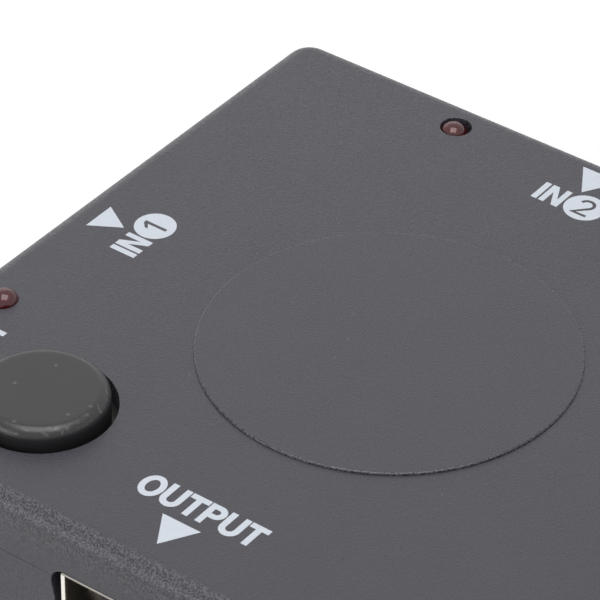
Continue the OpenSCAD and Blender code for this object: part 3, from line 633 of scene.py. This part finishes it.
def stroke(path, width):
    """The outline of an open path drawn with a pen of that width, with square ends and mitred bends."""
    sides = []
    for i, (x, y) in enumerate(path):
        ahead = path[min(i + 1, len(path) - 1)]
        behind = path[max(i - 1, 0)]
        way_in = math.atan2(y - behind[1], x - behind[0]) if i else math.atan2(ahead[1] - y, ahead[0] - x)
        way_out = math.atan2(ahead[1] - y, ahead[0] - x) if i < len(path) - 1 else way_in
        bend = math.remainder(way_out - way_in, 2 * math.pi) / 2
        reach = width / 2 / max(math.cos(bend), mitre_limit)
        normal = way_in + bend + math.pi / 2
        sides.append((reach * math.cos(normal), reach * math.sin(normal)))
    left = [(x + dx, y + dy) for (x, y), (dx, dy) in zip(path, sides)]
    right = [(x - dx, y - dy) for (x, y), (dx, dy) in zip(path, sides)]
    return left + right[::-1]


h, s = letter_h, stroke_w
letters = {
    "O": (2.45, [arc(1.22, h / 2, 1.22, 1.5, 0, 354, 59), arc(1.22, h / 2, 0.6, 0.87, 0, 354, 59)]),
    "U": (2.1, [stroke([(s / 2, h)] + arc(1.05, 1.0, 1.05 - s / 2, 1.05 - s / 2, 180, 360, 24)
                       + [(2.1 - s / 2, h)], s)]),
    "T": (2.03, [[(0, h), (0, h - s), (1.015 - s / 2, h - s), (1.015 - s / 2, 0), (1.015 + s / 2, 0),
                  (1.015 + s / 2, h - s), (2.03, h - s), (2.03, h)]]),
    "P": (2.0, [[(0, 0), (s, 0), (s, 1.05)] + arc(1.08, 1.975, 0.92, 0.925, -90, 90, 20) + [(0, h)],
                [(s, 1.66)] + arc(1.05, 1.975, 0.33, 0.315, -90, 90, 14) + [(s, 2.29)]]),
    "I": (s, [[(0, 0), (s, 0), (s, h), (0, h)]]),
    "N": (2.15, [[(0, 0), (0.6, 0), (0.6, 1.85), (1.47, 0), (2.15, 0), (2.15, h), (1.55, h), (1.55, 1.05),
                  (0.68, h), (0, h)]]),
    "S": (2.05, [stroke(arc(1.03, 2.06, 0.7, 0.53, 20, 270, 20)
                        + arc(1.03, 0.86, 0.72, 0.57, 90, -160, 20), s * 0.95)]),
    "E": (1.9, [[(0, 0), (1.9, 0), (1.9, 0.58), (s, 0.58), (s, 1.17), (1.75, 1.17), (1.75, 1.75), (s, 1.75),
                 (s, 2.32), (1.87, 2.32), (1.87, h), (0, h)]]),
    "L": (1.75, [[(0, 0), (1.75, 0), (1.75, 0.6), (s, 0.6), (s, h), (0, h)]]),
    "C": (2.3, [stroke(arc(1.22, h / 2, 0.92, 1.17, 42, 318, 40), s)]),
}
numerals = {
    "1": [(-0.12, -1.3), (0.24, -1.3), (0.24, 1.3), (-0.1, 1.3), (-0.74, 0.72), (-0.74, 0.34), (-0.12, 0.8)],
    "2": stroke(arc(0, 0.55, 0.68, 0.66, 170, -38, 22) + [(-0.66, -1.12), (0.86, -1.12)], numeral_w),
    "3": stroke([(-0.74, 1.12), (0.6, 1.12), (-0.02, 0.3)]
                + arc(-0.06, -0.45, 0.76, 0.75, 78, -150, 24), numeral_w),
}


def word(text, left, gap):
    """Outlines of a word's letters from a left end, standing on y = 0, with a gap between them, in mm."""
    outlines = []
    for letter in text:
        width, shapes = letters[letter]
        outlines += [[(x + left, y) for x, y in shape] for shape in shapes]
        left += width + gap
    return outlines


def number_disc(numeral, x, y):
    """A disc with a numeral left bare in it."""
    return [arc(x, y, number_r, number_r, 0, 355, 71), [(px + x, py + y) for px, py in numerals[numeral]]]


def printed_mark(name, outlines, x, y, turn):
    """A coat of ink inside outlines, laid on the top plate at a place and turn."""
    drawing = bpy.data.curves.new(name, "CURVE")
    drawing.dimensions = "2D"
    drawing.fill_mode = "BOTH"
    drawing.extrude = (ink_t + ink_bite) / 2 * mm
    for outline in outlines:
        line = drawing.splines.new("POLY")
        line.points.add(len(outline) - 1)
        line.use_cyclic_u = True
        for point, (px, py) in zip(line.points, outline):
            point.co = (px * mm, py * mm, 0, 1)
    pattern = bpy.data.objects.new(name + "_pattern", drawing)
    mesh = bpy.data.meshes.new_from_object(pattern)
    bpy.data.objects.remove(pattern)
    seat = Matrix.Translation((x * mm, y * mm, (top_z + (ink_t - ink_bite) / 2) * mm))
    mesh.transform(seat @ Matrix.Rotation(math.radians(turn), 4, "Z"))
    piece = put_in_scene(name, mesh)
    give_finish(piece, print_ink)
    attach(piece, "case")


# Pad-printing ink: a cool white, satin, thin enough that the plate's grain and a little of its grey come
# through.
cover_w, print_grain_w, print_grain_depth = 0.5, 0.22, 0.008
print_ink, tree, shader = start_finish("white pad-printing ink", {"IOR": 1.48})
place = add_node(tree, "TexCoord", {}, {})
spot = place.outputs["Object"]
cover = add_node(tree, "TexNoise", {"Scale": per_mm(cover_w), "Detail": 4}, {"Vector": spot})
coat = add_node(
    tree, "Mix", {"data_type": "RGBA", 6: linear("#d4dbe5"), 7: linear("#e2e8f1")}, {0: cover.outputs[0]})
grain = add_node(tree, "TexNoise", {"Scale": per_mm(print_grain_w), "Detail": 2}, {"Vector": spot})
relief = add_node(
    tree, "Bump", {"Strength": 1, "Distance": print_grain_depth * mm}, {"Height": grain.outputs[0]})
gloss = add_node(tree, "MapRange", {"To Min": 0.45, "To Max": 0.6}, {"Value": cover.outputs[0]})
tree.links.new(coat.outputs[2], shader.inputs["Base Color"])
tree.links.new(gloss.outputs[0], shader.inputs["Roughness"])
tree.links.new(relief.outputs[0], shader.inputs["Normal"])

arrow = [(-2.1, 0), (2.1, 0), (0, -3.5)]
printed_mark("print_output", word("OUTPUT", left=-6.48, gap=letter_gap), x=0, y=-29.78, turn=0)
printed_mark("print_output_arrow", [arrow], x=-0.15, y=-30.72, turn=0)
printed_mark("print_select", word("SELECT", left=-6.2, gap=letter_gap), x=-29.45, y=-24.95, turn=90)
for number, turn, out, arrow_x, arrow_y, arrow_size in (
        ("1", 90, 27.43, 0.05, 6.87, 0.9),
        ("2", 0, 28.0, 0.42, 7.2, 1.06),
        ("3", -90, 27.7, 0.2, 7.05, 1)):
    outlines = word("IN", left=-3.2, gap=in_gap) + number_disc(number, x=2.05, y=1.5)
    outlines.append([(x * arrow_size + arrow_x, y * arrow_size + arrow_y) for x, y in arrow])
    way = math.radians(turn)
    printed_mark("print_in_" + number, outlines, -out * math.sin(way), out * math.cos(way), turn)

# Floor and light: a white sweep between three softboxes in a white room. To the camera and in reflections
# the room is white, and it gives less light than that to dull surfaces, so that the softboxes model the form.
room_light = 0.25
floor_lift, floor_half, under_feet = 0.33, 6, -0.01 * mm
corners = [(x * floor_half, y * floor_half, under_feet) for x, y in ((-1, -1), (1, -1), (1, 1), (-1, 1))]
floor_mesh = bpy.data.meshes.new("floor")
floor_mesh.from_pydata(corners, [], [(0, 1, 2, 3)])
floor = put_in_scene("floor", floor_mesh)


def seen_directly(tree):
    """An output that is 1 for rays from the camera, mirrors and clear pieces, and 0 for the rest."""
    path = add_node(tree, "LightPath", {}, {})
    clear = add_node(
        tree, "Math", {"operation": "MAXIMUM"},
        {0: path.outputs["Is Glossy Ray"], 1: path.outputs["Is Transmission Ray"]})
    return add_node(
        tree, "Math", {"operation": "MAXIMUM"}, {0: path.outputs["Is Camera Ray"], 1: clear.outputs[0]})


floor_paper, tree, shader = start_finish(
    "white paper sweep", {"Base Color": linear("#eeeeee"), "Roughness": 0.9, "Specular IOR Level": 0,
                          "Emission Color": (1, 1, 1, 1)})
lift = add_node(tree, "Math", {"operation": "MULTIPLY", 1: floor_lift}, {0: seen_directly(tree).outputs[0]})
tree.links.new(lift.outputs[0], shader.inputs["Emission Strength"])
give_finish(floor, floor_paper)

world = bpy.data.worlds.new("white room")
world.use_nodes = True
bpy.context.scene.world = world
tree = world.node_tree
strength = add_node(
    tree, "MapRange", {"To Min": room_light, "To Max": 1}, {"Value": seen_directly(tree).outputs[0]})
backdrop = tree.nodes["Background"]
backdrop.inputs["Color"].default_value = (1, 1, 1, 1)
tree.links.new(strength.outputs[0], backdrop.inputs["Strength"])

for name, stood_at, width, height, power in (
        ("low softbox", (-0.238, -0.488, 0.13), 0.4, 0.26, 0.66),
        ("high softbox", (0.05, -0.09, 0.6), 0.5, 0.5, 2.5),
        ("back softbox", (-0.36, 0.28, 0.22), 0.5, 0.2, 0.16)):
    softbox = bpy.data.lights.new(name, "AREA")
    softbox.shape = "RECTANGLE"
    softbox.size, softbox.size_y, softbox.energy = width, height, power
    stand = put_in_scene(name, softbox)
    aim = (-Vector(stood_at)).to_track_quat("-Z", "Y")
    stand.matrix_world = Matrix.Translation(stood_at) @ aim.to_matrix().to_4x4()
    stand.visible_camera = False
bpy.context.scene.view_settings.view_transform = "Standard"

# Camera: a long lens close to the box, high over its front right, so that only the top and a strip of the
# front are in the frame.
sensor_w, focal_l = 36, 235.47
camera_place = (0.16065, -0.23403, 0.24123)
azimuth, elevation, roll = math.radians(36.13), math.radians(37.33), math.radians(0.76)
long_lens = bpy.data.cameras.new("camera")
long_lens.sensor_width = sensor_w
long_lens.lens = focal_l
camera = put_in_scene("camera", long_lens)
camera.matrix_world = (
    Matrix.Translation(camera_place) @ Matrix.Rotation(azimuth, 4, "Z")
    @ Matrix.Rotation(math.pi / 2 - elevation, 4, "X") @ Matrix.Rotation(roll, 4, "Z"))
bpy.context.scene.camera = camera
